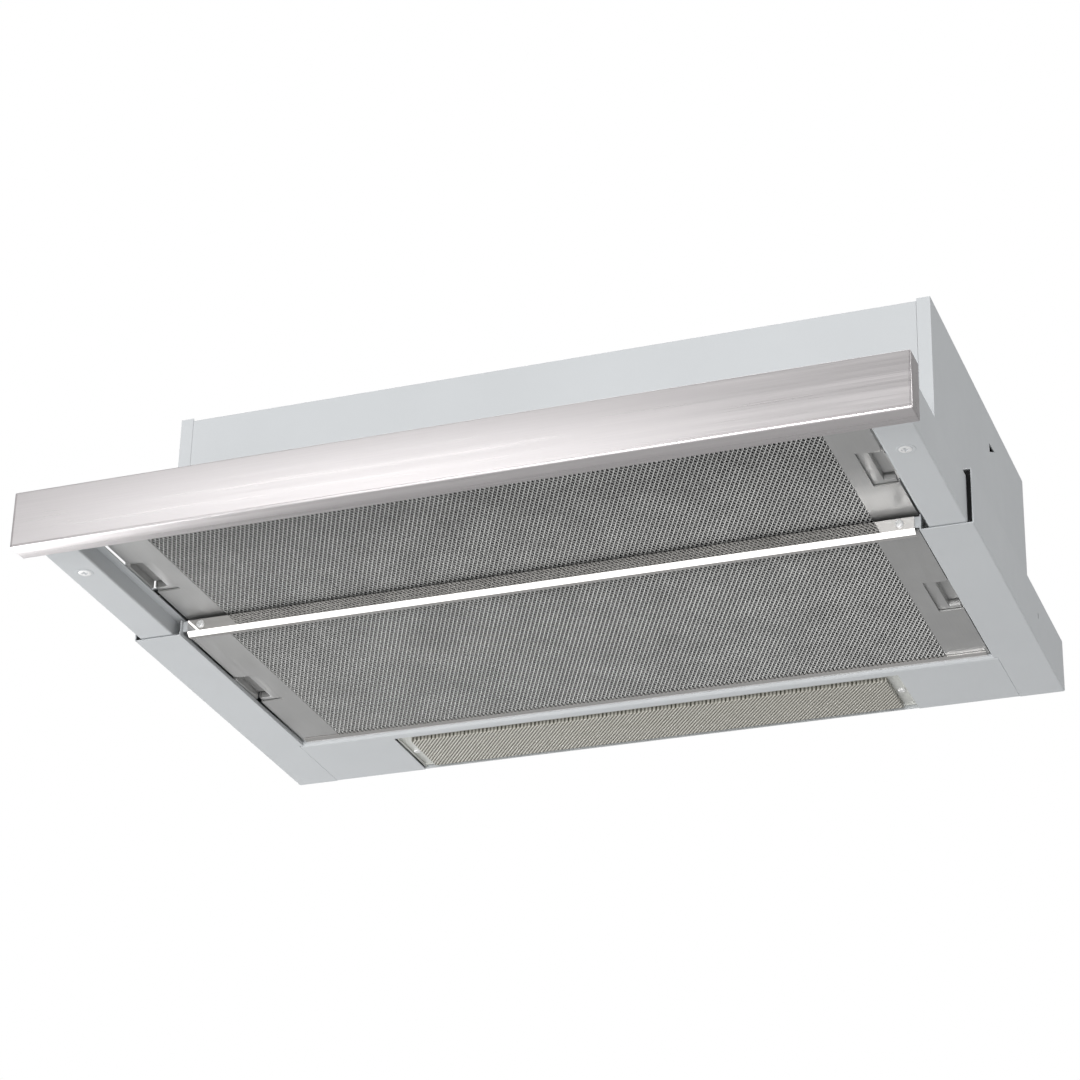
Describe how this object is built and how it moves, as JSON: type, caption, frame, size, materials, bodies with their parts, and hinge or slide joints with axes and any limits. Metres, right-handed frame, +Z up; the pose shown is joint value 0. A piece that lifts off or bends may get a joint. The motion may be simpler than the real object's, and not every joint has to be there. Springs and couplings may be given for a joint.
{
  "type": "under cabinet range hood",
  "caption": "Slide-out range hood that fits under a wall cabinet: folded housing, sliding filter drawer with brushed front bar, lamp and built-in blower.",
  "frame": {"origin": "centre of the four cabinet screw holes, on the ledge where the housing meets the cabinet's underside", "axes": "+X to the right as seen from the front, +Y to the rear, +Z up; the front bar faces -Y"},
  "size_m": [0.6, 0.4461, 0.2155],
  "materials": {
    "bright_rail": "polished, near mirror",
    "brushed_front": "horizontal fine brushed grain, satin",
    "dark_plastic": "moulded black plastic, fine texture",
    "filter_aluminium": "rolled aluminium, satin",
    "filter_mesh": "layered expanded mesh, dull silver",
    "grey_plastic": "moulded grey plastic, fine texture",
    "inner_steel": "light grey coat, matt",
    "knob_plastic": "moulded dark grey, slight gloss",
    "lamp_glass": "phosphor-coated glass tube",
    "lamp_lens": "prismatic translucent acrylic",
    "lamp_metal": "plain aluminium caps",
    "motor_steel": "dark grey coated steel",
    "painted_steel": "smooth light grey powder coat, satin",
    "pin_steel": "ground steel",
    "reflector_white": "white enamel, gloss",
    "screw_steel": "plated screw heads, cross recess",
    "white_plastic": "moulded off-white plastic",
    "zinc_steel": "zinc plated, fine grain"
  },
  "bodies": {
    "housing": {"cable_gland": "dark_plastic", "duct_spigot": "dark_plastic", "filter_rail_front": "bright_rail", "filter_rail_rear": "bright_rail", "filter_rail_screws": "screw_steel", "flap_pin": "pin_steel", "front_panel": "painted_steel", "lamp_bay_panel": "painted_steel", "lamp_caps": "lamp_metal", "lamp_cover": "lamp_lens", "lamp_cover_screws": "screw_steel", "lamp_driver": "white_plastic", "lamp_reflector": "reflector_white", "lamp_tube": "lamp_glass", "lampholders": "white_plastic", "motor_case": "motor_steel", "motor_mount": "dark_plastic", "rear_panel": "painted_steel", "scroll_inlet_side": "grey_plastic", "scroll_motor_side": "grey_plastic", "scroll_wrapper": "grey_plastic", "side_panel_left": "painted_steel", "side_panel_right": "painted_steel", "slide_bracket_left": "zinc_steel", "slide_bracket_right": "zinc_steel", "slide_fixed_left": "zinc_steel", "slide_fixed_right": "zinc_steel", "spigot_flange": "dark_plastic", "spigot_screws": "screw_steel", "terminal_box": "grey_plastic", "top_panel": "painted_steel", "rear_filter_frame": "filter_aluminium", "rear_filter_mesh": "filter_mesh", "microswitch": "dark_plastic"},
    "drawer": {"control_housing": "dark_plastic", "drawer_rear_bar": "inner_steel", "drawer_screws": "screw_steel", "drawer_side_left": "painted_steel", "drawer_side_right": "painted_steel", "fascia": "brushed_front", "fascia_carrier": "inner_steel", "front_filter_frame": "filter_aluminium", "front_filter_mesh": "filter_mesh", "slide_drawer_left": "zinc_steel", "slide_drawer_right": "zinc_steel"},
    "slide_middles": {"slide_middle_left": "zinc_steel", "slide_middle_right": "zinc_steel"},
    "wheel": {"impeller": "dark_plastic", "motor_shaft": "pin_steel"},
    "flap_rear": {"flap_rear": "dark_plastic"},
    "flap_front": {"flap_front": "dark_plastic"},
    "plunger": {"microswitch_plunger": "white_plastic"},
    "fan_knob": {"fan_speed_knob": "knob_plastic"},
    "light_knob": {"lamp_knob": "knob_plastic"},
    "front_latch_left": {"front_latch_left": "filter_aluminium"},
    "front_latch_right": {"front_latch_right": "filter_aluminium"},
    "rear_latch_left": {"rear_latch_left": "filter_aluminium"},
    "rear_latch_right": {"rear_latch_right": "filter_aluminium"}
  },
  "joints": [
    {"name": "drawer_slide", "type": "slide", "parent": "housing", "child": "drawer", "axis": [0, 1, 0], "range_m": [0, 0.15]},
    {"name": "slide_middle_travel", "type": "slide", "parent": "housing", "child": "slide_middles", "axis": [0, 1, 0], "range_m": [0, 0.075]},
    {"name": "impeller_spin", "type": "hinge", "parent": "housing", "child": "wheel", "pos_m": [0, -0.0365, 0.066], "axis": [1, 0, 0], "continuous": true},
    {"name": "flap_rear_hinge", "type": "hinge", "parent": "housing", "child": "flap_rear", "pos_m": [0, 0, 0.1429], "axis": [1, 0, 0], "range_deg": [0, 75]},
    {"name": "flap_front_hinge", "type": "hinge", "parent": "housing", "child": "flap_front", "pos_m": [0, 0, 0.1429], "axis": [-1, 0, 0], "range_deg": [0, 75]},
    {"name": "microswitch_press", "type": "slide", "parent": "housing", "child": "plunger", "axis": [0, 1, 0], "range_m": [0, 0.0018], "stiffness_N_per_m": 300, "springref_m": -0.001},
    {"name": "fan_speed_slide", "type": "slide", "parent": "drawer", "child": "fan_knob", "axis": [1, 0, 0], "range_m": [0, 0.018]},
    {"name": "lamp_slide", "type": "slide", "parent": "drawer", "child": "light_knob", "axis": [1, 0, 0], "range_m": [0, 0.006]},
    {"name": "front_latch_left_draw", "type": "slide", "parent": "drawer", "child": "front_latch_left", "axis": [1, 0, 0], "range_m": [0, 0.005], "stiffness_N_per_m": 400, "springref_m": -0.002},
    {"name": "front_latch_right_draw", "type": "slide", "parent": "drawer", "child": "front_latch_right", "axis": [-1, 0, 0], "range_m": [0, 0.005], "stiffness_N_per_m": 400, "springref_m": -0.002},
    {"name": "rear_latch_left_draw", "type": "slide", "parent": "housing", "child": "rear_latch_left", "axis": [1, 0, 0], "range_m": [0, 0.005], "stiffness_N_per_m": 400, "springref_m": -0.002},
    {"name": "rear_latch_right_draw", "type": "slide", "parent": "housing", "child": "rear_latch_right", "axis": [-1, 0, 0], "range_m": [0, 0.005], "stiffness_N_per_m": 400, "springref_m": -0.002}
  ],
  "couplings": [
    {"joint": "slide_middle_travel", "follows": "drawer_slide", "ratio": 0.5}
  ]
}
